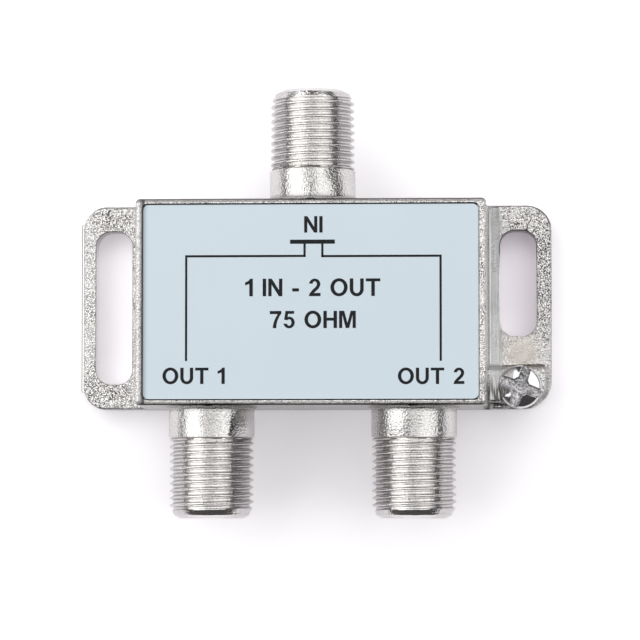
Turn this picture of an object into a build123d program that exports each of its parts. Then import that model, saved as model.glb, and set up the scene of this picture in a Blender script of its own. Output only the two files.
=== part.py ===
from build123d import *
import os
from math import atan, cos, degrees, radians, sin

# Coaxial splitter with one input port and two output ports, in millimetres.
# X runs across the case, +Y points to the input port, +Z out of the front face.
# The back face lies in the plane z = 0 and the origin is at its middle.

# Case
rim_width = 37.9
rim_height = 22.3
wall_lean = 0.15
wall_thick = 1.55
face_wall = 1.3
case_corner = 0.5
rim_edge = 0.2
side_land = 0.7
end_land = 0.5
recess_depth = 0.3
cavity_corner = 1.0
post_size = 2.6

# Cover plate, pressed into the open back
cover_thick = 0.5
cover_sink = 0.1
cover_ledge = 0.65
cover_corner = 1.2
cover_gap = 0.04

# Printed foil in the recess of the front face
foil_thick = 0.12
foil_gap = 0.15
foil_corner = 0.6

# Ears
ear_thick = 2.8
ear_round = 0.3
slot_edge = 0.1
slot_width = 4.02
slot_corner = 1.65
slot_inset = 1.34
slot_end_border = 2.8
slot_to_pad = 3.3
ear_border = 1.69
left_corner = 2.5
right_corner = 2.8
pad_side_corner = 3.2
wall_foot = 0.3
gate_proud = 0.3
gate_length = 18.8
gate_height = 1.5

# Ports
port_length = 12.05
port_inset = 8.05
thread_radius = 4.6
shank_radius = 4.68
shank_length = 3.2
relief_depth = 0.2
relief_width = 0.6
end_taper = 1.4
end_drop = 0.5
lip_length = 0.35
lip_drop = 0.6
port_wall = 1.35
port_foot = 0.35
rim_over_port = 0.72

# Insulators and centre contacts
fit_gap = 0.02
flange_step = 0.4
flange_thick = 0.7
flange_over_board = 0.95
mouth_depth = 0.6
pin_wall = 1.6
pin_radius = 0.5
lead_in_edge = 0.4
channel_radius = 1.3
contact_gap = 0.06
contact_wall = 0.27
contact_slit = 0.5
contact_slit_length = 4.0
tail_width = 1.0
tail_thick = 0.3
tail_inset = 1.55

# Ground screw and its pad
pad_rise = 2.0
pad_lean = 0.25
pad_height = 4.2
pad_margin = 0.4
pad_low_margin = 0.55
pad_corner = 2.2
pad_ramp = 0.3
screw_radius = 1.2
screw_gap = 0.05
screw_end_sink = 0.6
head_radius = 2.38
head_side = 0.6
head_height = 2.0
crown_radius = 1.2
crown_drop = 0.2
shoulder_radius = 2.0
shoulder_drop = 0.75
head_to_wall = 1.12
cross_width = 1.8
cross_depth = 1.35
cross_lean = 14
cross_turn = -18.5

# Board and the pieces on it
under_board = 2.6
board_thick = 1.0
board_gap = 0.25
lead_radius = 0.25
hole_gap = 0.1
wire_sides = 6
body_sides = 16
solder_radius = 0.5
solder_gap = 0.05
tail_solder = 0.35
solder_height = 0.7
solder_lean = 8
ground_solder = 1.1
core_width = 5.0
core_length = 3.6
core_height = 2.8
core_edge = 0.6
core_hole_radius = 0.75
core_hole_spacing = 2.4
wire_radius = 0.14
wire_pitch = 0.36
wire_turns = 3
wire_overhang = 0.4
tail_to_core = 1.3
disc_radius = 2.0
disc_thick = 1.4
disc_edge = 0.35
disc_rise = 0.8
disc_lead_spacing = 2.5
disc_to_tail = 3.3
resistor_radius = 0.85
resistor_edge = 0.3
resistor_length = 3.6
resistor_lead_spacing = 6.8
resistor_rise = 0.3
rod_radius = 1.2
rod_length = 8.0
choke_wire_radius = 0.25
choke_turns = 7
choke_pitch = 0.56
choke_sides = 8
choke_to_wall = 3.2

# Sizes that follow from those above
base_width = rim_width + 2 * wall_lean
base_height = rim_height + 2 * wall_lean
bore_radius = thread_radius - port_wall
flange_radius = bore_radius + flange_step
cover_top = cover_sink + cover_thick
board_base = cover_top + under_board
board_top = board_base + board_thick
port_height = board_top + flange_over_board + flange_radius
case_depth = port_height + shank_radius + rim_over_port
recess_floor = case_depth - recess_depth
ceiling = recess_floor - face_wall
cavity_width = base_width - 2 * wall_thick
cavity_height = base_height - 2 * wall_thick
output_x = base_width / 2 - port_inset
tail_y = cavity_height / 2 - tail_inset
solder_tip = board_base - solder_height
lead_tip = solder_tip - lead_radius

slot_x = base_width / 2 + slot_inset + slot_width / 2
ear_reach = slot_x + slot_width / 2 + ear_border
slot_top = base_height / 2 - slot_end_border
pad_low = -base_height / 2 + pad_low_margin
pad_high = pad_low + pad_height
pad_top = ear_thick + pad_rise
screw_x = base_width / 2 + head_to_wall + head_radius
screw_y = -base_height / 2 + head_radius

matching_y = tail_y - tail_to_core - wire_overhang - core_length / 2
splitting_y = -tail_y + resistor_radius + tail_to_core + wire_overhang + core_length / 2
choke_x = -(cavity_width / 2 - choke_to_wall)
choke_path = rod_radius + fit_gap + choke_wire_radius
choke_half = (choke_turns + 0.5) * choke_pitch / 2


def turned(*outline):
    """Revolve an outline of (place along Y, radius) points about the input port's axis."""
    face = make_face(Polyline(*[(along, port_height + out) for along, out in outline], close=True))
    return revolve(Plane.YZ * face, Axis((0, 0, port_height), (0, 1, 0)))


def at_output(side, piece):
    """Turn a piece made for the input port round to the output port on one side."""
    return Pos(side * output_x, 0, 0) * Rot(0, 0, 180) * piece


def foot_strip(reach, rise, run, lean):
    """Casting fillet between a leaning wall at x = 0 and a flat at z = 0, hollow outwards, along Y."""
    sunk = reach / 3
    top = (-lean * rise, rise)
    curve = TangentArc((reach, 0), top, tangent=(-1, 0))
    rest = Polyline(top, (-sunk, rise), (-sunk, -sunk), (reach, -sunk), (reach, 0))
    return extrude(Plane.XZ * make_face(curve + rest), run / 2, both=True)


def front_of(solid):
    """The front face of a plate or block."""
    return solid.faces().sort_by(Axis.Z)[-1]


def upright(edge):
    """Tell whether an edge runs mostly from back to front."""
    return abs((edge % 0.5).Z) > 0.5


# Housing

def case_block():
    """Upright foot as thick as the ears, and above it walls that lean in towards the rim."""
    outline = Rectangle(base_width, base_height)
    foot = extrude(outline, ear_thick)
    rise = case_depth - ear_thick
    upper = extrude(Pos(0, 0, ear_thick) * outline, rise, taper=degrees(atan(wall_lean / rise)))
    upper = fillet(upper.edges().filter_by(upright), case_corner)
    upper = chamfer(front_of(upper).edges(), rim_edge)
    return foot + upper


def front_recess():
    """Shallow recess that holds the printed foil and leaves the narrow rim."""
    outline = RectangleRounded(rim_width - 2 * side_land, rim_height - 2 * end_land, foil_corner)
    return extrude(Pos(0, 0, recess_floor) * outline, 2 * recess_depth)


def cavity():
    """Hollow behind the front face, and the wider seat of the cover at the back."""
    hollow = extrude(RectangleRounded(cavity_width, cavity_height, cavity_corner), ceiling)
    seat = RectangleRounded(
        cavity_width + 2 * cover_ledge, cavity_height + 2 * cover_ledge, cover_corner
    )
    return hollow + extrude(seat, cover_top)


def board_posts():
    """Four posts in the corners of the hollow, which the board rests against."""
    height = ceiling - board_top
    spots = GridLocations(cavity_width - post_size, cavity_height - post_size, 2, 2)
    post = Box(post_size, post_size, height, align=(Align.CENTER, Align.CENTER, Align.MIN))
    return [Pos(0, 0, board_top) * spot * post for spot in spots]


def ear_plate(side, reach, upper_corner, lower_corner, slot_low):
    """One slotted ear, rounded along its outer front edge, that starts inside the case wall."""
    inner = base_width / 2 - wall_thick / 2
    outer_side = -1 if side > 0 else 0
    outline = Pos(side * (inner + reach) / 2, 0) * Rectangle(reach - inner, base_height)
    upper = outline.vertices().group_by(Axis.X)[outer_side].sort_by(Axis.Y)[-1]
    outline = fillet(upper, upper_corner)
    lower = outline.vertices().group_by(Axis.X)[outer_side].sort_by(Axis.Y)[0]
    outline = fillet(lower, lower_corner)
    slot_length = slot_top - slot_low
    slot = RectangleRounded(slot_width, slot_length, slot_corner)
    outline -= Pos(side * slot_x, slot_top - slot_length / 2) * slot
    plate = extrude(outline, ear_thick)
    plate = chamfer(front_of(plate).inner_wires()[0].edges(), slot_edge)
    edges = front_of(plate).outer_wire().edges()
    return fillet(edges.filter_by(lambda edge: abs(edge.center().X) > inner + fit_gap), ear_round)


def gate_strip(reach):
    """Trimmed stub of the casting gate along the outer edge of the left ear."""
    strip = Box(2 * gate_proud, gate_length, gate_height)
    strip = fillet(strip.edges().group_by(Axis.X)[0], gate_proud / 2)
    return Pos(-reach, 0, ear_thick / 2) * strip


def screw_pad():
    """Raised pad for the ground screw, with a hollow ramp up from the ear."""
    inner = base_width / 2 - wall_thick / 2
    outer = ear_reach - pad_margin
    middle = ((inner + outer) / 2, (pad_low + pad_high) / 2)
    outline = Pos(*middle) * Rectangle(outer - inner, pad_height)
    lower = outline.vertices().group_by(Axis.X)[-1].sort_by(Axis.Y)[0]
    outline = fillet(lower, pad_corner)
    outline = Pos(0, 0, ear_thick) * outline
    pad = extrude(outline, pad_rise, taper=degrees(atan(pad_lean / pad_rise)))
    pad = chamfer(front_of(pad).edges(), rim_edge)
    root = extrude(outline, -ear_thick / 2)
    run = outer - inner - pad_margin
    ramp = Rot(0, 0, 90) * foot_strip(pad_ramp, pad_ramp, run, pad_lean / pad_rise)
    ramp = Pos(inner + run / 2, pad_high, ear_thick) * ramp
    return pad + root + ramp


def wall_feet():
    """Casting fillets where the side walls of the case meet the ears."""
    lean = wall_lean / (case_depth - ear_thick)
    strip = foot_strip(wall_foot, wall_foot, base_height - 2 * case_corner, lean)
    strip = Pos(base_width / 2, 0, ear_thick) * strip
    return [strip, Rot(0, 0, 180) * strip]


def port_barrel():
    """Input port: plain shank, relief groove, threaded length, taper and lip, from inside the case."""
    wall = base_height / 2
    root = wall - wall_thick / 2
    shank_end = wall + shank_length
    end = wall + port_length
    foot = wall - wall_lean / 2
    return turned(
        (root, 0),
        (root, shank_radius + port_foot),
        (foot, shank_radius + port_foot),
        (foot + port_foot, shank_radius),
        (shank_end, shank_radius),
        (shank_end, thread_radius - relief_depth),
        (shank_end + relief_width, thread_radius - relief_depth),
        (shank_end + relief_width, thread_radius),
        (end - end_taper, thread_radius),
        (end - lip_length, thread_radius - end_drop),
        (end, thread_radius - end_drop - lip_drop),
        (end, 0),
    )


def port_bore():
    """Bore of the input port, from beyond its mouth into the hollow of the case."""
    start = cavity_height / 2 - wall_thick
    end = base_height / 2 + port_length + wall_thick
    return turned((start, 0), (start, bore_radius), (end, bore_radius), (end, 0))


def housing():
    """Zinc casting: case, ears, pad and the three port barrels in one piece."""
    left_reach = ear_reach - gate_proud
    solid = case_block() + wall_feet()
    solid += ear_plate(-1, left_reach, left_corner, left_corner, -slot_top)
    solid += ear_plate(1, ear_reach, right_corner, pad_side_corner, pad_high + slot_to_pad)
    solid += gate_strip(left_reach)
    solid += screw_pad()
    solid += [port_barrel(), at_output(-1, port_barrel()), at_output(1, port_barrel())]
    solid -= front_recess()
    solid -= cavity()
    solid -= [port_bore(), at_output(-1, port_bore()), at_output(1, port_bore())]
    solid += board_posts()
    hole = Cylinder(screw_radius + screw_gap, 4 * pad_top)
    return solid - Pos(screw_x, screw_y, 0) * hole


# Plates

def rear_cover():
    """Flat plate on the ledge at the open back."""
    width = cavity_width + 2 * cover_ledge - 2 * cover_gap
    height = cavity_height + 2 * cover_ledge - 2 * cover_gap
    return Pos(0, 0, cover_sink) * extrude(RectangleRounded(width, height, cover_corner), cover_thick)


def face_label():
    """Printed foil on the floor of the front recess."""
    width = rim_width - 2 * side_land - 2 * foil_gap
    height = rim_height - 2 * end_land - 2 * foil_gap
    return Pos(0, 0, recess_floor) * extrude(RectangleRounded(width, height, foil_corner), foil_thick)


def lead_spots():
    """Where wires pass through the board, by the piece that they belong to."""
    half_disc = disc_lead_spacing / 2
    half_core = core_hole_spacing / 2
    last_lane = 3 * wire_radius
    input_disc = (disc_to_tail + disc_radius, tail_y - disc_thick / 2)
    side_disc = output_x - disc_to_tail, -tail_y + disc_to_tail
    matching_end = matching_y + core_length / 2 + wire_overhang
    splitting_end = splitting_y - core_length / 2 - wire_overhang
    return {
        "input_capacitor": [(input_disc[0] + side * half_disc, input_disc[1]) for side in (-1, 1)],
        "output_left_capacitor": [(-side_disc[0] + side * half_disc, side_disc[1]) for side in (-1, 1)],
        "output_right_capacitor": [(side_disc[0] + side * half_disc, side_disc[1]) for side in (-1, 1)],
        "balance_resistor": [(side * resistor_lead_spacing / 2, -tail_y) for side in (-1, 1)],
        "matching_winding": [(-half_core, matching_end), (half_core, matching_end + last_lane)],
        "splitting_winding": [(-half_core, splitting_end), (half_core, splitting_end - last_lane)],
        "choke_winding": [(choke_x + side * choke_path, side * choke_half) for side in (-1, 1)],
    }


def tail_spots():
    """Where the three contact tails pass through the board."""
    return [(0, tail_y), (-output_x, -tail_y), (output_x, -tail_y)]


def tail_outline(margin):
    """Outline around a contact tail, wider by a margin on each side."""
    return Rectangle(tail_width + 2 * margin, tail_thick + 2 * margin)


def circuit_board():
    """Board with one hole for each wire and each contact tail."""
    width = cavity_width - 2 * board_gap
    height = cavity_height - 2 * board_gap
    outline = RectangleRounded(width, height, cavity_corner)
    for spots in lead_spots().values():
        outline -= [Pos(*spot) * RegularPolygon(lead_radius + hole_gap, wire_sides) for spot in spots]
    outline -= [Pos(*spot) * tail_outline(hole_gap) for spot in tail_spots()]
    return extrude(Pos(0, 0, board_base) * outline, board_thick)


# Port fittings

def insulator():
    """White bush in the port bore, with a flange inside the case and a lead-in for the pin."""
    flange = cavity_height / 2
    front = base_height / 2 + port_length - mouth_depth
    body_radius = bore_radius - fit_gap
    return turned(
        (flange - flange_thick, channel_radius),
        (flange - flange_thick, flange_radius),
        (flange, flange_radius),
        (flange, body_radius),
        (front, body_radius),
        (front, pin_radius + lead_in_edge),
        (front - lead_in_edge, pin_radius),
        (front - pin_wall, pin_radius),
        (front - pin_wall, channel_radius),
    )


def contact():
    """Rolled spring contact, slit at its mouth, with a tail bent down into the board."""
    outer = channel_radius - contact_gap
    inner = outer - contact_wall
    start = cavity_height / 2 - flange_thick
    end = base_height / 2 + port_length - mouth_depth - pin_wall - contact_gap
    tube = turned((start, inner), (start, outer), (end, outer), (end, inner))
    slit = Box(3 * outer, contact_slit_length, contact_slit)
    tube -= Pos(0, end - contact_slit_length / 2, port_height) * slit
    shelf = port_height - (outer**2 - tail_width**2 / 4) ** 0.5 + tail_thick / 2
    half = tail_thick / 2
    strip = Polyline(
        (start + inner, shelf + half),
        (tail_y - half, shelf + half),
        (tail_y - half, lead_tip),
        (tail_y + half, lead_tip),
        (tail_y + half, shelf - half),
        (start + inner, shelf - half),
        close=True,
    )
    strip = extrude(Plane.YZ * make_face(strip), tail_width / 2, both=True)
    inside = turned((start, 0), (start, inner), (end, inner), (end, 0))
    return tube + (strip - inside)


# Pieces on the board

def wire(points, radius):
    """Wire with a many-sided section along straight runs."""
    path = Polyline(*points)
    section = Plane(origin=path @ 0, z_dir=path % 0) * RegularPolygon(radius, wire_sides)
    return sweep(section, path=path, transition=Transition.RIGHT)


def many_sided(radius, length, edge=0.0):
    """Round body as a many-sided prism about Z, with both ends chamfered if asked."""
    body = extrude(RegularPolygon(radius, body_sides), length / 2, both=True)
    return chamfer(body.faces().filter_by(Axis.Z).edges(), edge) if edge else body


def pin(spot, radius, top):
    """Straight end of a wire, from under the board up to a height."""
    return Pos(*spot, lead_tip) * extrude(RegularPolygon(radius, wire_sides), top - lead_tip)


def core(middle):
    """Two-hole ferrite that stands on the board, its holes along Y."""
    block = Box(core_width, core_length, core_height)
    block = chamfer(block.edges().filter_by(Axis.Y), core_edge)
    hole = Rot(90, 0, 0) * many_sided(core_hole_radius, 2 * core_length)
    half = core_hole_spacing / 2
    block -= [Pos(-half, 0, 0) * hole, Pos(half, 0, 0) * hole]
    return Pos(0, middle, board_top + core_height / 2) * block


def winding(middle, ends):
    """Wire that goes round the web of a core, one lane higher for each turn."""
    (left, near), (right, last) = ends
    far = 2 * middle - near
    lowest = board_top + core_height / 2 - wire_pitch * (wire_turns - 1) / 2
    points = [(left, near, lead_tip)]
    for turn in range(wire_turns):
        lane = lowest + turn * wire_pitch
        points += [(left, near, lane), (left, far, lane), (right, far, lane), (right, near, lane)]
    points[-1] = (right, last, lane)
    points.append((right, last, lead_tip))
    return wire(points, wire_radius)


def disc_capacitor(spots):
    """Ceramic disc on edge, on two straight leads."""
    middle = (spots[0][0] + spots[1][0]) / 2
    height = board_top + disc_rise + disc_radius
    body = Rot(90, 0, 0) * many_sided(disc_radius, disc_thick, disc_edge)
    return Pos(middle, spots[0][1], height) * body + [pin(spot, lead_radius, height) for spot in spots]


def balance_resistor():
    """Axial resistor lying across the two outputs, its leads bent down into the board."""
    left, right = lead_spots()["balance_resistor"]
    height = board_top + resistor_rise + resistor_radius
    points = [(*left, lead_tip), (*left, height), (*right, height), (*right, lead_tip)]
    body = Rot(0, 90, 0) * many_sided(resistor_radius, resistor_length, resistor_edge)
    return wire(points, lead_radius) + Pos(0, left[1], height) * body


def choke_height():
    """Height of the choke's axis, with the winding lying on the board."""
    return board_top + rod_radius + fit_gap + 2 * choke_wire_radius


def choke_core():
    """Ferrite rod along Y."""
    rod = Rot(90, 0, 0) * Cylinder(rod_radius, rod_length)
    return Pos(choke_x, 0, choke_height()) * rod


def choke_winding():
    """Thick wire wound on the rod, its two ends bent down into the board on opposite sides."""
    left, right = lead_spots()["choke_winding"]
    step = 360 / choke_sides
    reach = choke_path / cos(radians(step / 2))
    points = [(*left, lead_tip)]
    for count in range(choke_sides * choke_turns + choke_sides // 2):
        angle = radians(180 - step / 2 - count * step)
        along = left[1] + count * choke_pitch / choke_sides
        points.append((choke_x + reach * cos(angle), along, choke_height() + reach * sin(angle)))
    points[-1] = (right[0], right[1], points[-1][2])
    points.append((*right, lead_tip))
    return wire(points, choke_wire_radius)


def solder_joints():
    """Solder under the board at each wire and tail, and wedges that join it to the case."""
    cone = extrude(RegularPolygon(solder_radius, wire_sides), -solder_height, taper=solder_lean)
    cone -= extrude(RegularPolygon(lead_radius + solder_gap, wire_sides), -solder_height)
    wide = extrude(tail_outline(tail_solder), -solder_height, taper=solder_lean)
    wide -= extrude(tail_outline(solder_gap), -solder_height)
    wedge = make_face(Polyline((0, 0), (-ground_solder, 0), (0, -ground_solder), close=True))
    wedge = extrude(Plane.XZ * wedge, ground_solder, both=True)
    wire_spots = [spot for spots in lead_spots().values() for spot in spots]
    joints = [Pos(*spot, board_base) * cone for spot in wire_spots]
    joints += [Pos(*spot, board_base) * wide for spot in tail_spots()]
    edges = GridLocations(0, cavity_height / 2, 1, 2)
    right = [Pos(cavity_width / 2, 0, board_base) * edge * wedge for edge in edges]
    joints += right + [Rot(0, 0, 180) * piece for piece in right]
    return Compound(children=joints)


def ground_screw():
    """Screw with a domed head and a wide cross recess whose arms reach the rim of the head."""
    outline = Polyline(
        (0, 0),
        (0, head_height),
        (crown_radius, head_height - crown_drop),
        (shoulder_radius, head_height - shoulder_drop),
        (head_radius, head_side),
        (head_radius, 0),
        close=True,
    )
    head = revolve(Plane.XZ * make_face(outline), Axis.Z)
    arm = Pos(0, 0, head_height + fit_gap) * Rectangle(2 * head_radius, cross_width)
    arm = extrude(arm, -cross_depth, taper=cross_lean)
    head -= [Rot(0, 0, cross_turn) * arm, Rot(0, 0, cross_turn + 90) * arm]
    length = pad_top - screw_end_sink
    shank = Cylinder(screw_radius, length, align=(Align.CENTER, Align.CENTER, Align.MAX))
    return Pos(screw_x, screw_y, pad_top) * (head + shank)


# All the pieces

spots = lead_spots()
pieces = {
    "housing": housing(),
    "rear_cover": rear_cover(),
    "face_label": face_label(),
    "ground_screw": ground_screw(),
    "input_insulator": insulator(),
    "output_left_insulator": at_output(-1, insulator()),
    "output_right_insulator": at_output(1, insulator()),
    "input_contact": contact(),
    "output_left_contact": at_output(-1, contact()),
    "output_right_contact": at_output(1, contact()),
    "circuit_board": circuit_board(),
    "matching_core": core(matching_y),
    "matching_winding": winding(matching_y, spots["matching_winding"]),
    "splitting_core": core(splitting_y),
    "splitting_winding": winding(splitting_y, spots["splitting_winding"]),
    "balance_resistor": balance_resistor(),
    "input_capacitor": disc_capacitor(spots["input_capacitor"]),
    "output_left_capacitor": disc_capacitor(spots["output_left_capacitor"]),
    "output_right_capacitor": disc_capacitor(spots["output_right_capacitor"]),
    "choke_core": choke_core(),
    "choke_winding": choke_winding(),
    "solder_joints": solder_joints(),
}

os.makedirs("parts", exist_ok=True)
for name, piece in pieces.items():
    export_step(piece, f"parts/{name}.step")
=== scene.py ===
import bpy
import bmesh
from math import ceil, cos, pi, radians, sin, tan
from mathutils import Matrix, Vector


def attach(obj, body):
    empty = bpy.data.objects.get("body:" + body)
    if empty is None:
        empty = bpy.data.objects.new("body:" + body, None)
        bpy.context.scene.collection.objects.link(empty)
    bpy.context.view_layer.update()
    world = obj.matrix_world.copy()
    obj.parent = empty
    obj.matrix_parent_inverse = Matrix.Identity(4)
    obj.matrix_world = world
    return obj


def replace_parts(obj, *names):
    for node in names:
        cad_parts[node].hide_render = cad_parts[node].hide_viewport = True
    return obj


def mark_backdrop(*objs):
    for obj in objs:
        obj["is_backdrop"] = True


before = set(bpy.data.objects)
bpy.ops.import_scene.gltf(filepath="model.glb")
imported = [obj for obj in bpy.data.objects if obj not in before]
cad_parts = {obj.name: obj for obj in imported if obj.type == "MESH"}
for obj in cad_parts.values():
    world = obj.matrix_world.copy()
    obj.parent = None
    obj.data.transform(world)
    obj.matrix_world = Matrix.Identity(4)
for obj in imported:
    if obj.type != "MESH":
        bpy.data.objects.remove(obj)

# One millimetre, in metres
MM = 0.001

# Ports, in millimetres
PORT_HEIGHT = 8.8
OUTPUT_X = 11.05
PORT_ROOT = 11.45
PORT_END = 23.35
THREAD_RADIUS = 4.6
THREAD_PITCH = 25.4 / 32
THREAD_DEPTH = 0.42
THREAD_RUN_IN = 0.35
GROOVE_RADIUS = 4.4
GROOVE_SLOPE = 0.12
BORE_RADIUS = 3.25
BORE_EDGE = 0.06
TAPER_START = 21.95
LIP_START = 23.0
LIP_RADIUS = 4.1
MOUTH_RADIUS = 3.5
MOUTH_EDGE = 0.05

# The thread starts right at the shank's shoulder, as in the photograph. The solids have a wider groove.
THREAD_START = 14.66

# Where the barrels are cut from the plain casting, inside their grooves, and the length of the band
# that joins the two
CUT = 14.56
SEAM = 0.04

# Bands round a port's axis that hold the cut's two edges: that of the bore and that of the skin
CUT_BANDS = ((3.0, 3.8), (3.8, 5.0))

# Print, in millimetres
FOIL_FRONT = 14.02
PRINT_THICK = 0.015

# Ground screw, in millimetres: its place on the pad, shank, head, and the cross in the head
SCREW_PLACE = (22.6, -8.92, 4.8)
SCREW_RADIUS = 1.2
SCREW_LENGTH = 4.2
SCREW_PITCH = 0.45
SCREW_THREAD_DEPTH = 0.17
SCREW_TAPER = 0.4
HEAD_RADIUS = 2.38
HEAD_SIDE = 0.6
HEAD_HEIGHT = 1.86
HEAD_DROP = 0.7
HEAD_EDGE = 0.06
CROSS_TURN = -20.0
CROSS_FLOOR = 0.62
CROSS_ARM = 0.84
CROSS_CONE = 0.88
CROSS_EDGE = 0.5

# Camera: the point of the face in the picture's middle, its lean in degrees, its distance in
# millimetres, the face's scale in pixels to a millimetre, the picture's width in pixels, and the
# sensor's width in millimetres
CAMERA_TARGET = (1.057, -2.019, 14.2)
CAMERA_LEAN = (2.907, -3.239)
CAMERA_DISTANCE = 379.0
FACE_SCALE = 9.2889
PICTURE_WIDTH = 640
SENSOR_WIDTH = 36.0


# Shader maths

class Field:
    """A value that changes over a surface, so that sums and products can be written with it."""

    def __init__(self, finish, socket):
        self.finish = finish
        self.socket = socket

    def maths(self, operation, left, right=0.0, limit=False):
        """Work out two values, and keep the result from 0 to 1 where there is a limit."""
        settings = {"operation": operation, "use_clamp": limit}
        return self.finish.add("ShaderNodeMath", settings, {0: left, 1: right})

    def __add__(self, other):
        return self.maths("ADD", self, other)

    def __sub__(self, other):
        return self.maths("SUBTRACT", self, other)

    def __mul__(self, other):
        return self.maths("MULTIPLY", self, other)

    def __radd__(self, other):
        return self.maths("ADD", other, self)

    def __rsub__(self, other):
        return self.maths("SUBTRACT", other, self)

    def __rmul__(self, other):
        return self.maths("MULTIPLY", other, self)

    def distance(self):
        """The value without its sign."""
        return self.maths("ABSOLUTE", self)

    def above(self, edge, softness):
        """0 where the value is well below an edge and 1 where it is well above."""
        return self.maths("MULTIPLY", self - (edge - softness / 2), 1 / softness, limit=True)

    def below(self, edge, softness):
        """1 where the value is well below an edge and 0 where it is well above."""
        return 1 - self.above(edge, softness)


class Finish:
    """One material, with a single way to add a node to it."""

    def __init__(self, name, **constants):
        self.material = bpy.data.materials.new(name)
        self.material.use_nodes = True
        self.nodes = self.material.node_tree.nodes
        self.links = self.material.node_tree.links
        self.shader = self.nodes["Principled BSDF"]
        for socket, value in constants.items():
            self.feed(self.shader.inputs[socket.replace("_", " ")], value)

    def feed(self, socket, value):
        """Link a field to a socket, or set a constant on it."""
        if isinstance(value, Field):
            self.links.new(value.socket, socket)
        elif isinstance(value, tuple) and socket.type == "RGBA":
            socket.default_value = (*value, 1.0)
        else:
            socket.default_value = value

    def add(self, kind, settings=None, sockets=None, result=0):
        """Add a node: first its settings, then the values or links of its sockets."""
        node = self.nodes.new(kind)
        for name, value in (settings or {}).items():
            setattr(node, name, value)
        for name, value in (sockets or {}).items():
            self.feed(node.inputs[name], value)
        return Field(self, node.outputs[result])

    def place(self, stretch=(1.0, 1.0, 1.0)):
        """Where a point of the surface is, in metres, drawn out by three factors."""
        spot = self.add("ShaderNodeTexCoord", result="Object")
        return self.add("ShaderNodeVectorMath", {"operation": "MULTIPLY"}, {0: spot, 1: stretch})

    def axes(self):
        """The three coordinates of a point of the surface, in millimetres."""
        spot = self.place(stretch=(1 / MM, 1 / MM, 1 / MM))
        parts = self.add("ShaderNodeSeparateXYZ", {}, {0: spot}).socket.node.outputs
        return [Field(self, part) for part in parts]

    def near(self, across, along, size):
        """1 at a place of the plan and 0 further than a size from it, in millimetres."""
        spot = self.place(stretch=(1 / MM, 1 / MM, 0.0))
        sockets = {0: spot, 1: (across, along, 0.0)}
        away = self.add("ShaderNodeVectorMath", {"operation": "DISTANCE"}, sockets, result="Value")
        return away.below(0.65 * size, 0.7 * size)

    def grain(self, size, detail, stretch=(1.0, 1.0, 1.0)):
        """Soft noise from 0 to 1, whose spots are about a size in millimetres."""
        sockets = {"Vector": self.place(stretch), "Scale": 1 / (size * MM), "Detail": detail}
        return self.add("ShaderNodeTexNoise", {}, sockets, result="Fac")

    def pits(self, size):
        """Distance to the nearest of many scattered points, for pits and specks."""
        sockets = {"Vector": self.place(), "Scale": 1 / (size * MM)}
        return self.add("ShaderNodeTexVoronoi", {"feature": "F1"}, sockets, result="Distance")

    def blend(self, share, first, second):
        """First colour where the share is 0, second colour where it is 1."""
        sockets = {0: share, 6: first, 7: second}
        return self.add("ShaderNodeMix", {"data_type": "RGBA"}, sockets, result=2)

    def colour(self, value):
        """Colour of the surface."""
        self.feed(self.shader.inputs["Base Color"], value)

    def roughness(self, value):
        """Roughness, from a mirror at 0 to chalk at 1."""
        self.feed(self.shader.inputs["Roughness"], value)

    def metal(self, value):
        """How far the surface is bare metal, never under 0."""
        self.feed(self.shader.inputs["Metallic"], value.maths("MAXIMUM", value, 0.0))

    def relief(self, height, depth):
        """Raise the surface by a field, whose full range is a depth in millimetres."""
        sockets = {"Height": height, "Distance": depth * MM}
        bump = self.add("ShaderNodeBump", {}, sockets)
        self.feed(self.shader.inputs["Normal"], bump)


def tint(red, green, blue):
    """Colour as seen on a screen, 0 to 255, as the light values that a shader takes."""
    shares = [value / 255 for value in (red, green, blue)]
    return tuple(s / 12.92 if s <= 0.04045 else ((s + 0.055) / 1.055) ** 2.4 for s in shares)


# Places of the casting where its skin differs: 1 there and 0 elsewhere. Distances are in millimetres.

def beside_the_case(finish):
    """The smooth strip on the right ear beside the case, and the dark bands at the wall's foot."""
    across, along, up = finish.axes()
    strip = across.above(19.2, 0.1) * across.below(20.5, 0.4)
    crossing = (along + 6.7).distance().below(0.4, 0.2) * strip
    foot = across.above(18.9, 0.05) * across.below(19.3, 0.1) * up.below(4.5, 0.5)
    return strip, foot + crossing


def dark_slot_ends(finish):
    """Painted dark reflection on the arched walls at the slots' ends, on the input's side."""
    _, along, up = finish.axes()
    ends = finish.near(22.45, 8.6, 4.0) + 0.6 * finish.near(-22.9, 8.4, 3.4)
    return ends * up.below(2.785, 0.02) * along.distance().below(9.4, 0.2)


def dark_brim(finish):
    """Broken line of painted dark reflection along the ears' upper edge, at the ends and the right
    corner.
    """
    across, along, up = finish.axes()
    edge = up.above(2.4, 0.1) * up.below(2.77, 0.03) * across.distance().above(19.2, 0.1)
    reach = 0.6 * along.distance().above(11.05, 0.1) + finish.near(25.0, 10.2, 2.6)
    return edge * reach * finish.grain(0.6, 1.0).above(0.42, 0.2)


def dark_gate_lines(finish):
    """Two lines along the gate's strip, on the left ear."""
    across, _, up = finish.axes()
    leftward = across * -1
    inner = (leftward - 25.84).distance().below(0.05, 0.04) * up.below(1.55, 0.02)
    return inner + leftward.above(26.03, 0.04)


def dark_rim(finish):
    """Painted shade on the long lips of the rim, weaker at the input's side, and on the slope at its
    left.
    """
    across, along, up = finish.axes()
    leftward, aside = across * -1, along.distance()
    lip = aside.above(11.0, 0.06) * aside.below(PORT_ROOT, 0.1) * up.above(13.95, 0.05)
    lip = lip * (1 - 0.3 * along.above(0.0, 1.0))
    slope = up.above(13.0, 0.5) * leftward.above(17.9, 0.1) * leftward.below(18.4, 0.5)
    return lip + 0.9 * slope


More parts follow.
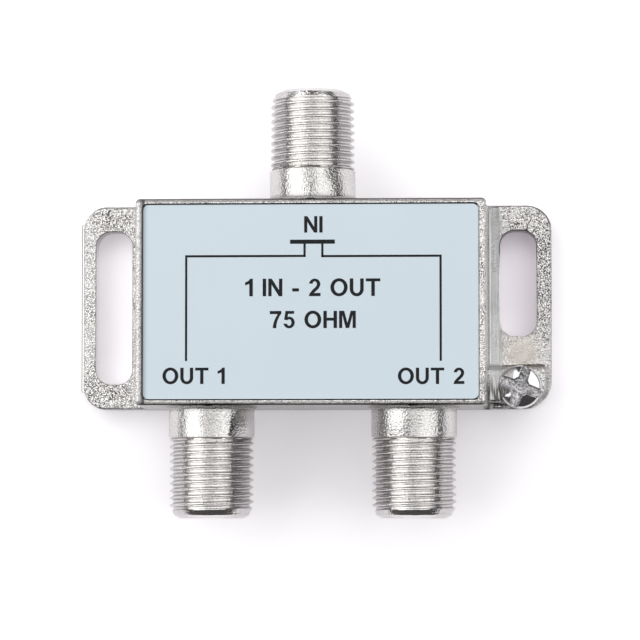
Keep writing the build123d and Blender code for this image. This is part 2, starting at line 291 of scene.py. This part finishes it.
def dark_pad_side(finish):
    """Painted shade on the side of the pad under the ground screw."""
    across, along, up = finish.axes()
    return up.above(2.9, 0.1) * up.below(4.65, 0.15) * across.above(20.8, 0.4) * along.below(-7.5, 1.0)


def dark_gap(finish):
    """Painted shade in the narrow gap round the foil, fainter along its two short ends."""
    across, along, up = finish.axes()
    gap = up.above(13.8, 0.02) * up.below(13.95, 0.02) * along.distance().below(PORT_ROOT, 0.1)
    left, right = (across * -1).above(17.8, 0.2), across.above(18.0, 0.2)
    return gap * (1 - 0.55 * left) * (1 - 0.7 * right)


def shaded_long_walls(finish):
    """Painted shade on the case's two long walls, at the roots of the ports."""
    across, along, _ = finish.axes()
    aside = along.distance()
    return aside.above(10.76, 0.08) * aside.below(11.7, 0.4) * across.distance().below(19.0, 0.1)


def coarseness(finish, strip, smooth, barrel, thread):
    """How coarse the cast skin is: 1 on the flats, less on the ports, 0 in the slots and on the gate."""
    across, along, up = finish.axes()
    off, leftward = across.distance(), across * -1
    slot = up.below(2.6, 0.2) * off.above(20.3, 0.1) * off.below(24.6, 0.1)
    slot = slot * along.distance().below(9.4, 0.2)
    left_rim = up.above(13.0, 0.5) * leftward.above(17.9, 0.1)
    rough = (1 - 0.9 * strip) * (1 - 0.8 * smooth) * (1 - 0.68 * barrel) * (1 - 0.2 * thread)
    return rough * leftward.below(25.82, 0.05) * (1 - slot) * (1 - 0.4 * left_rim)


# Finishes

def nickel_plated_casting():
    """Die-cast zinc under bright nickel.

    The flats have a coarse, glittering cast skin, with dark specks in clusters: painted shade and dark
    reflection in its pits. The barrels are finer, and the strip beside the case and the ear below its
    slot are smooth. Painted shade and dark reflection darken the rim, the slots' ends, the ears' upper
    edge, the pad's side, the gap round the foil, the long walls, the hollow beside the pad and the
    thread's flanks, whose crests are painted lighter. The gate's strip has dark lines.
    """
    finish = Finish("nickel_plated_casting", Metallic=1.0)
    _, along, up = finish.axes()
    barrel, thread = along.distance().above(PORT_ROOT, 0.1), along.distance().above(THREAD_START, 0.1)
    smooth = finish.near(22.8, -5.2, 3.0)
    # Painted shade in the hollow between the case's wall and the pad
    valley_shade = finish.near(19.8, -10.0, 2.5)
    strip, foot = beside_the_case(finish)
    gap = dark_gap(finish)
    rough = coarseness(finish, strip, smooth, barrel, thread)
    # Patches where the dark specks gather: painted shade and dark reflection, strongest on the right
    # ear's side
    patches = finish.near(-23.6, -9.2, 3.2) + finish.near(-22.6, 10.3, 3.0) + finish.near(25.4, 4.5, 8.0)
    clusters = finish.grain(1.6, 2.0).above(0.5, 0.3) * 0.7 + patches
    fine, coarse, broad = finish.grain(0.1, 1.0), finish.grain(0.22, 1.0), finish.grain(2.4, 1.0)
    drawn = finish.grain(0.3, 2.0, stretch=(1.0, 0.05, 1.0))
    specks = finish.grain(0.115, 1.0).above(0.54, 0.08) * rough
    streaks = finish.grain(0.22, 1.0, stretch=(1.0, 0.12, 1.0)).above(0.46, 0.2)
    # Painted shade and dark reflection on the rim, the slots' ends, the ears' upper edge and the pad's
    # side, with dark lines along the gate's strip
    edges = dark_rim(finish) + dark_slot_ends(finish) + dark_brim(finish)
    edges = edges + 0.5 * dark_pad_side(finish) + 0.7 * dark_gate_lines(finish)

    bright = tint(230, 228, 226)
    skin = finish.blend(barrel, bright, tint(208, 206, 204))
    # Painted light and shade on the thread: crests lighter, flanks darker where the turns shade each
    # other
    thread_light_and_shade = finish.blend(up.above(12.2, 1.4), tint(196, 193, 193), bright)
    skin = finish.blend(thread, skin, thread_light_and_shade)
    skin = finish.blend(smooth, skin, tint(209, 202, 195))
    # Dark specks: painted shade and dark reflection in the pits of the cast skin
    skin = finish.blend(specks * (0.45 + 0.6 * clusters), skin, tint(52, 49, 49))
    skin = finish.blend(strip, skin, finish.blend(drawn, tint(176, 177, 178), tint(212, 212, 211)))
    # Painted shade on the long walls, broken up by the fine grain
    skin = finish.blend(shaded_long_walls(finish) * (0.6 + 0.4 * fine), skin, tint(146, 143, 142))
    # Painted shade and dark reflection along the edges, and the gate's dark lines
    skin = finish.blend(edges, skin, tint(62, 60, 60))
    # Painted shade in that hollow, streaked with painted dark reflection
    skin = finish.blend(valley_shade * streaks, skin, tint(92, 92, 88))
    # Painted shade in the gap round the foil
    finish.colour(finish.blend(gap, skin, tint(48, 50, 50)))
    finish.roughness(0.14 + 0.1 * fine + 0.12 * specks + 0.3 * gap + 0.4 * foot)
    finish.metal(1 - 0.8 * foot)
    cast = fine * rough * (1.5 - 0.9 * barrel) + coarse * (1.4 * rough + 0.5 * barrel - 0.2 * thread)
    finish.relief(cast + broad + drawn * 0.5 * strip, 0.05)
    return finish.material


def tinned_plate():
    """Tin-plated sheet steel: rolled lines along X and a soft mottle."""
    finish = Finish("tinned_plate", Metallic=1.0)
    rolled = finish.grain(0.2, 2.0, stretch=(0.04, 1.0, 1.0))
    mottle = finish.grain(2.2, 3.0)
    finish.colour(finish.blend(mottle, tint(214, 214, 212), tint(186, 187, 188)))
    finish.roughness(0.24 + 0.14 * mottle + 0.06 * rolled)
    finish.relief(rolled * 0.3 + mottle, 0.02)
    return finish.material


def printed_foil():
    """Satin face foil in pale blue-grey, with a hardly visible grain and painted shade at its left end.
    """
    finish = Finish("printed_foil", Roughness=0.5)
    ink = finish.grain(0.12, 2.0)
    cloud = finish.grain(9.0, 1.0)
    flat = finish.blend(cloud * 0.6 + ink * 0.4, tint(202, 215, 223), tint(208, 221, 229))
    # Painted shade of the rim on the foil's left end
    left_end_shade = (finish.axes()[0] * -1).above(17.8, 0.7)
    finish.colour(finish.blend(left_end_shade * left_end_shade, flat, tint(140, 149, 156)))
    finish.relief(ink, 0.004)
    return finish.material


def black_print():
    """Screen-printed ink, slightly uneven."""
    finish = Finish("black_print", Roughness=0.6, Specular_IOR_Level=0.25)
    ink = finish.grain(0.1, 2.0)
    finish.colour(finish.blend(ink, tint(8, 10, 14), tint(22, 24, 29)))
    finish.relief(ink, 0.006)
    return finish.material


def bright_screw():
    """Polished nickel with faint drawn lines and a trace of wear."""
    finish = Finish("bright_screw", Metallic=1.0)
    wear = finish.grain(0.35, 3.0)
    fine = finish.grain(0.09, 1.0)
    finish.colour(finish.blend(wear, tint(222, 221, 222), tint(204, 203, 205)))
    finish.roughness(0.07 + 0.1 * wear)
    finish.relief(fine * 0.4 + wear, 0.006)
    return finish.material


def pressed_recess():
    """Duller metal in the screw's cross, with the marks of the punch."""
    finish = Finish("pressed_recess", Metallic=1.0)
    marks = finish.grain(0.32, 1.0)
    finish.colour(finish.blend(marks.above(0.5, 0.4), tint(116, 115, 117), tint(206, 204, 206)))
    finish.roughness(0.18 + 0.16 * marks)
    finish.relief(marks, 0.1)
    return finish.material


def white_bush():
    """White moulded plastic."""
    finish = Finish("white_bush", Roughness=0.38)
    mould = finish.grain(0.5, 3.0)
    finish.colour(finish.blend(mould, tint(238, 238, 234), tint(226, 226, 222)))
    finish.relief(mould, 0.012)
    return finish.material


def contact_brass():
    """Rolled brass strip."""
    finish = Finish("contact_brass", Metallic=1.0)
    tarnish = finish.grain(0.6, 3.0)
    finish.colour(finish.blend(tarnish, tint(222, 190, 122), tint(184, 146, 84)))
    finish.roughness(0.22 + 0.2 * tarnish)
    finish.relief(tarnish, 0.008)
    return finish.material


def board():
    """Tan paper laminate with a faint fibre."""
    finish = Finish("board", Roughness=0.6)
    fibre = finish.grain(0.25, 3.0, stretch=(0.3, 1.0, 1.0))
    specks = finish.grain(0.8, 2.0)
    finish.colour(finish.blend(fibre * 0.5 + specks * 0.5, tint(190, 152, 100), tint(158, 122, 78)))
    finish.relief(fibre, 0.02)
    return finish.material


def ferrite():
    """Dark sintered ferrite with fine pores."""
    finish = Finish("ferrite", Roughness=0.62)
    pores = finish.pits(0.22)
    cloud = finish.grain(0.9, 2.0)
    finish.colour(finish.blend(cloud, tint(48, 46, 46), tint(70, 67, 66)))
    finish.relief(pores, 0.03)
    return finish.material


def enamelled_wire():
    """Copper wire under clear brown enamel."""
    finish = Finish("enamelled_wire", Metallic=1.0, Coat_Weight=0.6)
    enamel = finish.grain(0.5, 2.0)
    finish.colour(finish.blend(enamel, tint(196, 104, 58), tint(150, 70, 38)))
    finish.roughness(0.24 + 0.12 * enamel)
    finish.relief(enamel, 0.01)
    return finish.material


def resistor_body():
    """Lacquered beige body."""
    finish = Finish("resistor_body", Roughness=0.35)
    lacquer = finish.grain(0.4, 2.0)
    finish.colour(finish.blend(lacquer, tint(214, 192, 150), tint(194, 170, 128)))
    finish.relief(lacquer, 0.015)
    return finish.material


def capacitor_disc():
    """Dipped ochre coating, slightly lumpy."""
    finish = Finish("capacitor_disc", Roughness=0.5)
    dip = finish.grain(0.7, 3.0)
    finish.colour(finish.blend(dip, tint(200, 132, 56), tint(170, 104, 40)))
    finish.relief(dip, 0.05)
    return finish.material


def solder():
    """Solder, bright with duller frosted patches."""
    finish = Finish("solder", Metallic=1.0)
    frost = finish.grain(0.5, 3.0)
    finish.colour(finish.blend(frost, tint(214, 214, 216), tint(176, 177, 180)))
    finish.roughness(0.16 + 0.3 * frost)
    finish.relief(frost, 0.02)
    return finish.material


# Mesh helpers. Shapes are built in millimetres, in the frame of the solids.

def in_scene(name, shape, material):
    """Object of a bmesh in millimetres, with its material."""
    mesh = bpy.data.meshes.new(name)
    shape.to_mesh(mesh)
    shape.free()
    mesh.transform(Matrix.Scale(MM, 4))
    mesh.materials.append(material)
    thing = bpy.data.objects.new(name, mesh)
    bpy.context.scene.collection.objects.link(thing)
    return thing


def new_piece(name, shape, material, body):
    """Piece of the object that rides on a body, with its finish."""
    bmesh.ops.recalc_face_normals(shape, faces=shape.faces)
    piece = in_scene(name, shape, material)
    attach(piece, body)
    return piece


def soften(piece, degrees):
    """Smooth shading that keeps edges sharper than an angle, and flats flat."""
    mesh = piece.data
    mesh.polygons.foreach_set("use_smooth", [True] * len(mesh.polygons))
    mesh.set_sharp_from_angle(angle=radians(degrees))
    weights = piece.modifiers.new("flats", "WEIGHTED_NORMAL")
    weights.keep_sharp = True
    weights.weight = 90


def solid_of(node):
    """Bmesh copy of a CAD node's mesh in millimetres, joined at its edges, its flats in one piece."""
    shape = bmesh.new()
    shape.from_mesh(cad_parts[node].data)
    bmesh.ops.scale(shape, vec=(1 / MM, 1 / MM, 1 / MM), verts=shape.verts)
    bmesh.ops.remove_doubles(shape, verts=shape.verts, dist=1e-4)
    bmesh.ops.dissolve_limit(shape, angle_limit=radians(0.6), verts=shape.verts, edges=shape.edges)
    return shape


def band(shape, first, second):
    """Faces between two rings with as many vertices as each other."""
    for step in range(len(first)):
        after = (step + 1) % len(first)
        shape.faces.new((first[step], first[after], second[after], second[step]))


def lathe(shape, place, columns, outline):
    """Rings through an outline of (along, out) points, with faces between them."""
    rings = []
    for along, out in outline:
        angles = [2 * pi * column / columns for column in range(columns)]
        rings.append([shape.verts.new(place(along, out, angle)) for angle in angles])
    for first, second in zip(rings, rings[1:]):
        band(shape, first, second)
    return rings


def ease(value):
    """0 below 0, 1 above 1, and a smooth rise between them."""
    value = min(max(value, 0.0), 1.0)
    return value * value * (3 - 2 * value)


def thread_depth(phase):
    """Share of the thread's depth at a place in one turn: narrow crest, straight flanks, round root."""
    away = abs(phase % 1.0 - 0.5) * 2
    share = min(max((0.86 - away) / 0.68, 0.0), 1.0)
    return 0.25 * share + 0.75 * ease(share)


def threaded_sheet(shape, place, columns, rows, start, end, pitch, radius):
    """Sheet that follows a right-hand thread, with its ends squeezed into flat rings.

    place(along, out, angle) gives a point, and radius(along, phase, angle) how far out the sheet is.
    """
    last = ceil((end - start) / pitch * rows)
    lines = {}
    for row in range(-rows, last + 1):
        line = []
        for column in range(columns):
            turn = row / rows + column / columns
            along = min(max(start + turn * pitch, start), end)
            angle = 2 * pi * column / columns
            out = radius(along, turn - column / columns, angle)
            line.append(shape.verts.new(place(along, out, angle)))
        lines[row] = line
    for row in range(-rows, last):
        here, above = lines[row], lines[row + 1]
        for column in range(columns - 1):
            shape.faces.new((here[column], here[column + 1], above[column + 1], above[column]))
        if row + rows + 1 <= last:
            beyond, next_beyond = lines[row + rows], lines[row + rows + 1]
            shape.faces.new((here[-1], beyond[0], next_beyond[0], above[-1]))


def join_doubles(shape):
    """Weld vertices that lie on each other."""
    bmesh.ops.remove_doubles(shape, verts=shape.verts, dist=1e-4)
    bmesh.ops.dissolve_degenerate(shape, edges=shape.edges, dist=1e-5)


# Casting

def barrel_radius(along, phase, angle):
    """Radius of a port's end: groove, start of the thread, the thread, and a taper to the lip."""
    rise = ease((along - THREAD_START + GROOVE_SLOPE / 2) / GROOVE_SLOPE)
    depth = THREAD_DEPTH * ease((along - THREAD_START) / THREAD_RUN_IN) * thread_depth(phase)
    crest = GROOVE_RADIUS + (THREAD_RADIUS - GROOVE_RADIUS) * rise
    share = (along - TAPER_START) / (LIP_START - TAPER_START)
    taper = THREAD_RADIUS - (THREAD_RADIUS - LIP_RADIUS) * share
    lip = LIP_RADIUS - (LIP_RADIUS - MOUTH_RADIUS) * (along - LIP_START) / (PORT_END - LIP_START)
    return min(crest - depth, taper, lip)


def threaded_end(shape, sign, middle):
    """Threaded end of one port, open towards the case."""
    columns, rows_in_turn = 96, 12

    def place(along, out, angle):
        return middle + sign * out * sin(angle), sign * along, PORT_HEIGHT + out * cos(angle)

    start = CUT + SEAM
    lip = PORT_END - MOUTH_EDGE
    threaded_sheet(shape, place, columns, rows_in_turn, start, lip, THREAD_PITCH, barrel_radius)
    lathe(shape, place, columns, [
        (lip, barrel_radius(lip, 0, 0)),
        (PORT_END, MOUTH_RADIUS - 0.02),
        (PORT_END, BORE_RADIUS + BORE_EDGE),
        (PORT_END - BORE_EDGE, BORE_RADIUS),
        (start, BORE_RADIUS),
    ])


def cut_loop(shape, sign, middle, low, high):
    """Open edges at a port's cut, between two distances from the port's axis."""
    found = []
    for edge in shape.edges:
        spot = (edge.verts[0].co + edge.verts[1].co) / 2
        out = Vector((spot.x - middle, spot.z - PORT_HEIGHT)).length
        if edge.is_boundary and sign * spot.y > 0 and low < out < high:
            found.append(edge)
    return found


def casting():
    """Housing: the solid's own mesh as far as the grooves of the ports, then the threaded ends."""
    shape = solid_of("housing")
    for sign in (-1, 1):
        whole = shape.verts[:] + shape.edges[:] + shape.faces[:]
        spot, out = (0, sign * CUT, 0), (0, sign, 0)
        bmesh.ops.bisect_plane(shape, geom=whole, plane_co=spot, plane_no=out, clear_outer=True)
    ports = [(1, 0.0), (-1, -OUTPUT_X), (-1, OUTPUT_X)]
    for sign, middle in ports:
        threaded_end(shape, sign, middle)
    join_doubles(shape)
    for sign, middle in ports:
        for low, high in CUT_BANDS:
            bmesh.ops.bridge_loops(shape, edges=cut_loop(shape, sign, middle, low, high))
    piece = new_piece("casting", shape, nickel_plated_casting(), "case")
    soften(piece, 35)
    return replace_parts(piece, "housing")


# Ground screw

def head_height(x, y):
    """Height of the screw's head over the pad: a dome with a wide cross pressed into it.

    The cross has straight arms, open at the rim, and a cone in the middle. Also gives how far the
    place lies in the cross, from 0 to 1.
    """
    corner, arm_slope, cone_slope, edge_round = 40, 8, 7, 0.12
    out = (x * x + y * y) ** 0.5
    share = min(out / HEAD_RADIUS, 1.0)
    dome = HEAD_HEIGHT - HEAD_DROP * share**2 - (HEAD_HEIGHT - HEAD_DROP - HEAD_SIDE) * share**corner
    turn = radians(CROSS_TURN)
    across = min(abs(x * sin(turn) - y * cos(turn)), abs(x * cos(turn) + y * sin(turn)))
    floor = CROSS_FLOOR + 0.1 * out
    arm = floor + max(across - CROSS_ARM / 2, 0.0) * arm_slope
    cone = floor + max(out - CROSS_CONE, 0.0) * cone_slope
    wall = min(arm, cone)
    overlap = ease(0.5 + (dome - wall) / CROSS_EDGE)
    height = dome * (1 - overlap) + wall * overlap - edge_round * overlap * (1 - overlap)
    return height, overlap


def ground_screw():
    """Screw with its pressed head and threaded shank, on the pad."""
    columns, rings, rows_in_turn = 180, 72, 10
    shape = bmesh.new()

    def place(along, out, angle):
        x, y = out * sin(angle), out * cos(angle)
        return SCREW_PLACE[0] + x, SCREW_PLACE[1] + y, SCREW_PLACE[2] - along

    def shank_radius(along, phase, angle):
        depth = SCREW_THREAD_DEPTH * ease(along / SCREW_TAPER) * thread_depth(phase)
        tip = SCREW_RADIUS - SCREW_TAPER * ease((along - SCREW_LENGTH + SCREW_TAPER) / SCREW_TAPER)
        return min(SCREW_RADIUS - depth, tip)

    threaded_sheet(shape, place, columns, rows_in_turn, 0.0, SCREW_LENGTH, SCREW_PITCH, shank_radius)
    lathe(shape, place, columns, [(SCREW_LENGTH, SCREW_RADIUS - SCREW_TAPER), (SCREW_LENGTH, 0.1)])
    side = lathe(shape, place, columns, [
        (0.0, SCREW_RADIUS),
        (0.0, HEAD_RADIUS - HEAD_EDGE),
        (-HEAD_EDGE, HEAD_RADIUS),
        (-0.4, HEAD_RADIUS),
    ])
    before = side[-1]
    deep_in_cross = 0.85
    pressed = set()
    # Rings from the head's side nearly to its middle
    for step in range(rings):
        out = HEAD_RADIUS * (0.999 - 0.98 * step / (rings - 1))
        here = []
        for column in range(columns):
            angle = 2 * pi * column / columns
            height, overlap = head_height(out * sin(angle), out * cos(angle))
            here.append(shape.verts.new(place(-height, out, angle)))
            if overlap > deep_in_cross:
                pressed.add(here[-1])
        band(shape, before, here)
        before = here
    for face in shape.faces:
        face.material_index = int(all(vertex in pressed for vertex in face.verts))
    join_doubles(shape)
    bmesh.ops.holes_fill(shape, edges=[edge for edge in shape.edges if edge.is_boundary], sides=0)
    piece = new_piece("pad_screw", shape, bright_screw(), "screw")
    piece.data.materials.append(pressed_recess())
    soften(piece, 40)
    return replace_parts(piece, "ground_screw")


# Print on the foil

def bar(shape, left, right, low, high):
    """Straight line of the print, as a thin block."""
    block = bmesh.ops.create_cube(shape, size=1.0)["verts"]
    bmesh.ops.scale(shape, vec=(right - left, high - low, PRINT_THICK), verts=block)
    middle = ((left + right) / 2, (low + high) / 2, FOIL_FRONT + PRINT_THICK / 2)
    bmesh.ops.translate(shape, vec=middle, verts=block)


def arc(middle, reach, start, end, steps=10):
    """Points along part of an ellipse, its angles in degrees."""
    spots = []
    for step in range(steps + 1):
        angle = radians(start + (end - start) * step / steps)
        spots.append((middle[0] + reach[0] * cos(angle), middle[1] + reach[1] * sin(angle)))
    return spots


# Plain bold capitals and figures, as outlines one unit high
LETTERS = {
    " ": [(0.32, 0)],
    "-": [(0, 0.27), (0.38, 0.27), (0.38, 0.45), (0, 0.45)],
    "I": [(0, 0), (0.2, 0), (0.2, 1), (0, 1)],
    "T": [(0.31, 0), (0.51, 0), (0.51, 0.83), (0.82, 0.83), (0.82, 1), (0, 1), (0, 0.83), (0.31, 0.83)],
    "H": [
        (0, 0), (0.2, 0), (0.2, 0.43), (0.59, 0.43), (0.59, 0), (0.79, 0),
        (0.79, 1), (0.59, 1), (0.59, 0.6), (0.2, 0.6), (0.2, 1), (0, 1),
    ],
    "N": [
        (0, 0), (0.19, 0), (0.19, 0.66), (0.6, 0), (0.8, 0),
        (0.8, 1), (0.61, 1), (0.61, 0.35), (0.2, 1), (0, 1),
    ],
    "M": [
        (0, 0), (0.185, 0), (0.185, 0.76), (0.385, 0), (0.585, 0), (0.785, 0.76), (0.785, 0),
        (0.97, 0), (0.97, 1), (0.675, 1), (0.485, 0.3), (0.295, 1), (0, 1),
    ],
    "U": (
        [(0.2, 1), (0, 1)] + arc((0.395, 0.38), (0.395, 0.4), 180, 360)
        + [(0.79, 1), (0.59, 1)] + arc((0.395, 0.38), (0.195, 0.22), 360, 180)
    ),
    "1": [(0.24, 0), (0.44, 0), (0.44, 1), (0.28, 1), (0.2, 0.88), (0, 0.79), (0, 0.62), (0.24, 0.71)],
    "2": (
        [(0, 0), (0.67, 0), (0.67, 0.18), (0.29, 0.18), (0.42, 0.3), (0.56, 0.43)]
        + arc((0.34, 0.69), (0.32, 0.31), -35, 175) + arc((0.34, 0.68), (0.125, 0.16), 170, -20)
        + [(0.37, 0.5), (0.22, 0.36), (0.06, 0.17)]
    ),
    "5": (
        [(0.12, 1), (0.62, 1), (0.62, 0.83), (0.27, 0.83), (0.245, 0.645)]
        + arc((0.325, 0.33), (0.335, 0.345), 85, -170) + [(0.19, 0.26)]
        + arc((0.33, 0.33), (0.135, 0.19), -150, 115) + [(0.22, 0.46), (0.04, 0.49)]
    ),
    "7": [
        (0, 1), (0.67, 1), (0.67, 0.86), (0.55, 0.68), (0.45, 0.46), (0.39, 0.23), (0.37, 0),
        (0.17, 0), (0.19, 0.2), (0.26, 0.44), (0.36, 0.65), (0.46, 0.82), (0, 0.82),
    ],
}
OUTER_O = arc((0.49, 0.5), (0.49, 0.515), 0, 345, 23)
INNER_O = arc((0.49, 0.5), (0.28, 0.34), 0, 345, 23)
LETTER_GAP = 0.12


def thin_plate(shape, outline, hole=None):
    """Flat piece of the print inside an outline, with an optional hole of as many points."""
    low = [shape.verts.new((x, y, FOIL_FRONT)) for x, y in outline]
    high = [shape.verts.new((x, y, FOIL_FRONT + PRINT_THICK)) for x, y in outline]
    band(shape, low, high)
    if hole is None:
        shape.faces.new(low)
        shape.faces.new(high)
        return
    low_hole = [shape.verts.new((x, y, FOIL_FRONT)) for x, y in hole]
    high_hole = [shape.verts.new((x, y, FOIL_FRONT + PRINT_THICK)) for x, y in hole]
    band(shape, low_hole, high_hole)
    band(shape, low, low_hole)
    band(shape, high, high_hole)


def set_letter(points, middle, height, start, turn):
    """Points of a letter, moved to its place in a word."""
    return [
        (middle[0] + turn * height * (start + x), middle[1] + turn * height * (y - 0.5))
        for x, y in points
    ]


def words(shape, text, middle, height, turn):
    """Words of the print, with the middle and the height of the capitals given; -1 turns them over."""
    outlines = [OUTER_O if letter == "O" else LETTERS[letter] for letter in text]
    widths = [max(x for x, y in outline) for outline in outlines]
    start = -(sum(widths) + LETTER_GAP * (len(text) - 1)) / 2
    for letter, outline, width in zip(text, outlines, widths):
        spots = set_letter(outline, middle, height, start, turn)
        if letter == "O":
            thin_plate(shape, spots, set_letter(INNER_O, middle, height, start, turn))
        elif letter != " ":
            thin_plate(shape, spots)
        start += width + LETTER_GAP


# Lines of the diagram, in millimetres: left, right, low, high
DIAGRAM_LINES = [
    (-2.19, 2.65, 6.23, 6.68),
    (-0.74, -0.50, 4.80, 6.23),
    (1.18, 1.42, 4.77, 6.23),
    (-13.30, -0.50, 4.80, 5.04),
    (1.18, 13.92, 4.77, 5.01),
    (-13.54, -13.30, -6.40, 5.04),
    (13.92, 14.16, -6.44, 5.01),
]

# Words of the diagram: text, middle, height of the capitals, and -1 where they are turned over
DIAGRAM_WORDS = [
    ("IN", (0.33, 8.33), 1.78, -1),
    ("1 IN - 2 OUT", (0.25, 1.52), 1.9, 1),
    ("75 OHM", (0.27, -1.95), 1.86, 1),
    ("OUT 1", (-12.6, -8.0), 1.76, 1),
    ("OUT 2", (13.0, -8.05), 1.76, 1),
]


def face_print():
    """Plain diagram of one input and two outputs, with plain words for the ports."""
    shape = bmesh.new()
    for left, right, low, high in DIAGRAM_LINES:
        bar(shape, left, right, low, high)
    for text, middle, height, turn in DIAGRAM_WORDS:
        words(shape, text, middle, height, turn)
    return new_piece("face_print", shape, black_print(), "case")


# Finishes of the nodes that keep their own shape

def dress_nodes():
    """Give every solid that keeps its own shape its finish."""
    bush, brass = white_bush(), contact_brass()
    dark, copper, disc = ferrite(), enamelled_wire(), capacitor_disc()
    finishes = {
        "rear_cover": tinned_plate(), "face_label": printed_foil(), "circuit_board": board(),
        "input_insulator": bush, "output_left_insulator": bush, "output_right_insulator": bush,
        "input_contact": brass, "output_left_contact": brass, "output_right_contact": brass,
        "matching_core": dark, "splitting_core": dark, "choke_core": dark,
        "matching_winding": copper, "splitting_winding": copper, "choke_winding": copper,
        "input_capacitor": disc, "output_left_capacitor": disc, "output_right_capacitor": disc,
        "balance_resistor": resistor_body(), "solder_joints": solder(),
    }
    for node, material in finishes.items():
        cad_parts[node].data.materials[0] = material


# Studio

def pale_floor():
    """Matt floor with a glow that only the camera and the metal see, so that its shadows stay.

    The glow fills what the lamps leave to white, and is at its full strength well beyond the object.
    It is weaker under the ears' slots, as a painted shadow of the ears.
    """
    finish = Finish("floor", Roughness=0.9, Base_Color=tint(247, 245, 248), Emission_Strength=1.0)
    rays = finish.add("ShaderNodeLightPath").socket.node.outputs
    names = ("Is Camera Ray", "Is Glossy Ray", "Is Transmission Ray")
    looks = [Field(finish, rays[name]) for name in names]
    across, along, _ = finish.axes()
    off = across.distance()
    # Painted shadow of the ears on the floor under their slots, stronger under the right ear
    slots = off.above(19.5, 1.0) * off.below(25.2, 0.6) * along.distance().below(10.5, 0.6)
    slots = slots * (0.25 + 0.75 * across.above(0.0, 1.0))
    # Rises between 140 and 420 mm from the middle
    beyond = (across * across + along * along).above(100000.0, 160000.0)
    glow = finish.blend(slots, (0.33, 0.32, 0.33), (0.2, 0.17, 0.2))
    glow = finish.blend(beyond, glow, (1.0, 1.0, 1.0))
    glow = finish.blend(looks[0] + looks[1] + looks[2], (0.0, 0.0, 0.0), glow)
    finish.feed(finish.shader.inputs["Emission Color"], glow)
    return finish.material


def floor():
    """Pale floor that the object stands on, 3 m wide."""
    shape = bmesh.new()
    bmesh.ops.create_grid(shape, x_segments=1, y_segments=1, size=1500)
    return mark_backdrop(in_scene("floor", shape, pale_floor()))


def softbox(name, azimuth, from_top, distance, width, length, radiance):
    """Area lamp aimed at the object, in metres, its width towards the top and its length round it."""
    light = bpy.data.lights.new(name, "AREA")
    light.shape = "RECTANGLE"
    light.size = width
    light.size_y = length
    light.energy = radiance * pi * width * length
    lamp = bpy.data.objects.new(name, light)
    bpy.context.scene.collection.objects.link(lamp)
    side, tilt = radians(azimuth), radians(from_top)
    back = Vector((sin(tilt) * cos(side), sin(tilt) * sin(side), cos(tilt)))
    up = Vector((-sin(side), cos(side), 0))
    across = up.cross(back)
    turn = Matrix((across, up, back)).transposed().to_4x4()
    lamp.matrix_world = Matrix.Translation(back * distance) @ turn


def studio():
    """Large softboxes at the left and the right, a small panel nearly overhead, and a dim room."""
    softbox("left_box", azimuth=156, from_top=44, distance=0.6, width=0.6, length=1.0, radiance=2.0)
    softbox("right_box", azimuth=30, from_top=38, distance=0.6, width=0.55, length=0.9, radiance=1.55)
    softbox("top_panel", azimuth=270, from_top=8, distance=0.62, width=0.3, length=0.34, radiance=1.2)
    world = bpy.data.worlds.new("room")
    bpy.context.scene.world = world
    world.use_nodes = True
    room = world.node_tree.nodes["Background"]
    room.inputs["Color"].default_value = (1.0, 0.98, 0.99, 1.0)
    room.inputs["Strength"].default_value = 0.07


def camera():
    """Camera at the photograph's angle, nearly straight above the face."""
    lean_across, lean_along = (tan(radians(lean)) for lean in CAMERA_LEAN)
    back = Vector((lean_across, lean_along, 1.0)).normalized()
    right = Vector((0.0, 1.0, 0.0)).cross(back).normalized()
    up = back.cross(right)
    lens = bpy.data.cameras.new("camera")
    lens.sensor_width = SENSOR_WIDTH
    lens.lens = SENSOR_WIDTH * CAMERA_DISTANCE * FACE_SCALE / PICTURE_WIDTH
    lens.clip_start = 0.01
    view = bpy.data.objects.new("camera", lens)
    bpy.context.scene.collection.objects.link(view)
    turn = Matrix((right, up, back)).transposed().to_4x4()
    spot = Vector(CAMERA_TARGET) * MM + back * (CAMERA_DISTANCE * MM)
    view.matrix_world = Matrix.Translation(spot) @ turn
    bpy.context.scene.camera = view


# What Blender starts with is taken out
for left_over in ("Cube", "Light", "Camera"):
    if left_over in bpy.data.objects:
        bpy.data.objects.remove(bpy.data.objects[left_over])
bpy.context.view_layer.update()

casting()
ground_screw()
face_print()
dress_nodes()
floor()
studio()
camera()
bpy.context.scene.view_settings.view_transform = "Standard"
